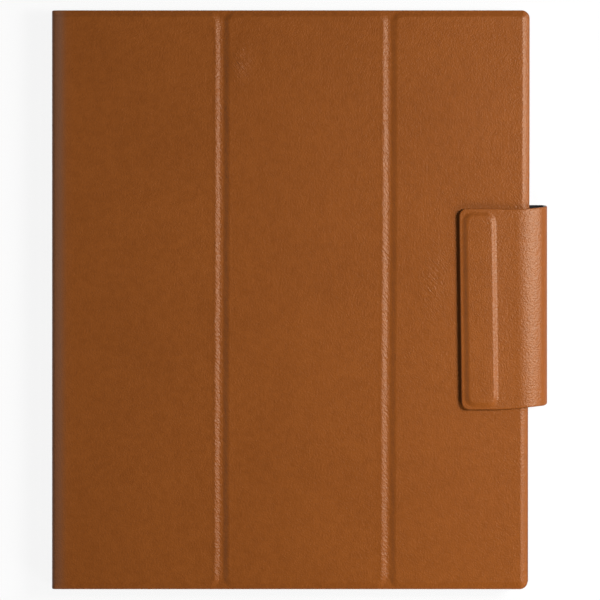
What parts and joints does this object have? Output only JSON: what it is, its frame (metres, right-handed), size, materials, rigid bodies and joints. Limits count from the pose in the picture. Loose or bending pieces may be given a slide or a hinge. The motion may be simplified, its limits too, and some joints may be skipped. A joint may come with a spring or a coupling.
{
  "type": "e-reader in folio cover",
  "caption": "Thin ten-inch e-paper reader held by magnets in a tan leather tri-fold folio with a soft spine and a wrap-round magnetic flap.",
  "frame": {"origin": "middle of the closed folio's outline, strap included, on the outer face of the back cover that it rests on", "axes": "+X from the spine to the fore edge, +Y up the page, +Z out of the front cover"},
  "size_m": [0.1978, 0.231, 0.0147],
  "materials": {
    "leather": "satin, finely pebbled tan",
    "board": "matte grey board",
    "lining": "black microfibre nap",
    "magnet": "nickel plated",
    "steel": "satin",
    "casing": "bead-blasted, dark anodised",
    "glass": "etched, anti-glare",
    "adhesive": "foam tape",
    "film": "clear film",
    "light_guide": "clear acrylic",
    "screen": "matte electronic paper",
    "circuit": "solder mask",
    "chassis": "machined, plain",
    "flex": "amber polyimide",
    "battery": "dark foil pouch",
    "chip": "moulded epoxy",
    "black_plastic": "moulded"
  },
  "bodies": {
    "back_cover": {"back_leather": "leather", "back_board": "board", "back_lining": "lining", "dock_magnets": "magnet", "spine_lower_fold": "leather", "strap_root_bend": "leather", "reader_casing": "casing", "front_glass": "glass", "glass_adhesive": "adhesive", "touch_sensor": "film", "light_guide": "light_guide", "front_light_strip": "flex", "screen_panel": "screen", "pen_digitizer": "circuit", "chassis": "chassis", "screen_ribbon": "flex", "battery": "battery", "battery_lead": "flex", "mainboard": "circuit", "shield_cans": "steel", "cover_sensor": "chip", "charging_socket": "steel", "socket_board": "circuit", "socket_flex": "flex", "power_switch": "chip", "speakers": "black_plastic", "antennas": "flex", "chassis_screws": "steel", "board_screws": "steel", "reader_magnets": "magnet"},
    "spine": {"spine_leather": "leather", "spine_board": "board", "spine_lining": "lining", "spine_upper_fold": "leather"},
    "panel_1": {"panel_1_leather": "leather", "panel_1_board": "board", "panel_1_lining": "lining", "fold_web_1": "leather"},
    "panel_2": {"panel_2_leather": "leather", "panel_2_board": "board", "panel_2_lining": "lining", "fold_web_2": "leather"},
    "panel_3": {"panel_3_leather": "leather", "panel_3_board": "board", "panel_3_lining": "lining", "stand_magnets": "magnet", "keeper_plate": "steel", "wake_magnet": "magnet"},
    "strap_wall": {"strap_wall_leather": "leather", "strap_wall_lining": "lining", "strap_top_bend": "leather"},
    "flap_tip": {"flap_leather": "leather", "flap_lining": "lining", "flap_stiffener": "board", "flap_magnets": "magnet"},
    "power_button": {"power_button": "casing"}
  },
  "joints": [
    {"name": "spine_back", "type": "hinge", "parent": "back_cover", "child": "spine", "pos_m": [-0.09812, 0, 0.00203], "axis": [0, -1, 0], "range_deg": [0, 180], "deforming": ["spine_lower_fold"]},
    {"name": "spine_front", "type": "hinge", "parent": "spine", "child": "panel_1", "pos_m": [-0.09812, 0, 0.00997], "axis": [0, -1, 0], "range_deg": [0, 90], "deforming": ["spine_upper_fold"]},
    {"name": "fold_1", "type": "hinge", "parent": "panel_1", "child": "panel_2", "pos_m": [-0.03075, 0, 0.01015], "axis": [0, -1, 0], "range_deg": [0, 110], "deforming": ["fold_web_1"]},
    {"name": "fold_2", "type": "hinge", "parent": "panel_2", "child": "panel_3", "pos_m": [0.03595, 0, 0.01015], "axis": [0, -1, 0], "range_deg": [0, 110], "deforming": ["fold_web_2"]},
    {"name": "flap_root", "type": "hinge", "parent": "back_cover", "child": "strap_wall", "pos_m": [0.09774, 0, 0.00241], "axis": [0, 1, 0], "range_deg": [0, 90], "deforming": ["strap_root_bend"]},
    {"name": "flap_hinge", "type": "hinge", "parent": "strap_wall", "child": "flap_tip", "pos_m": [0.0967, 0, 0.01135], "axis": [0, 1, 0], "range_deg": [0, 90], "deforming": ["strap_top_bend"]},
    {"name": "power_button_press", "type": "slide", "parent": "back_cover", "child": "power_button", "axis": [0, -1, 0], "range_m": [0, 0.00035], "stiffness_N_per_m": 2000, "springref_m": -0.0003}
  ]
}
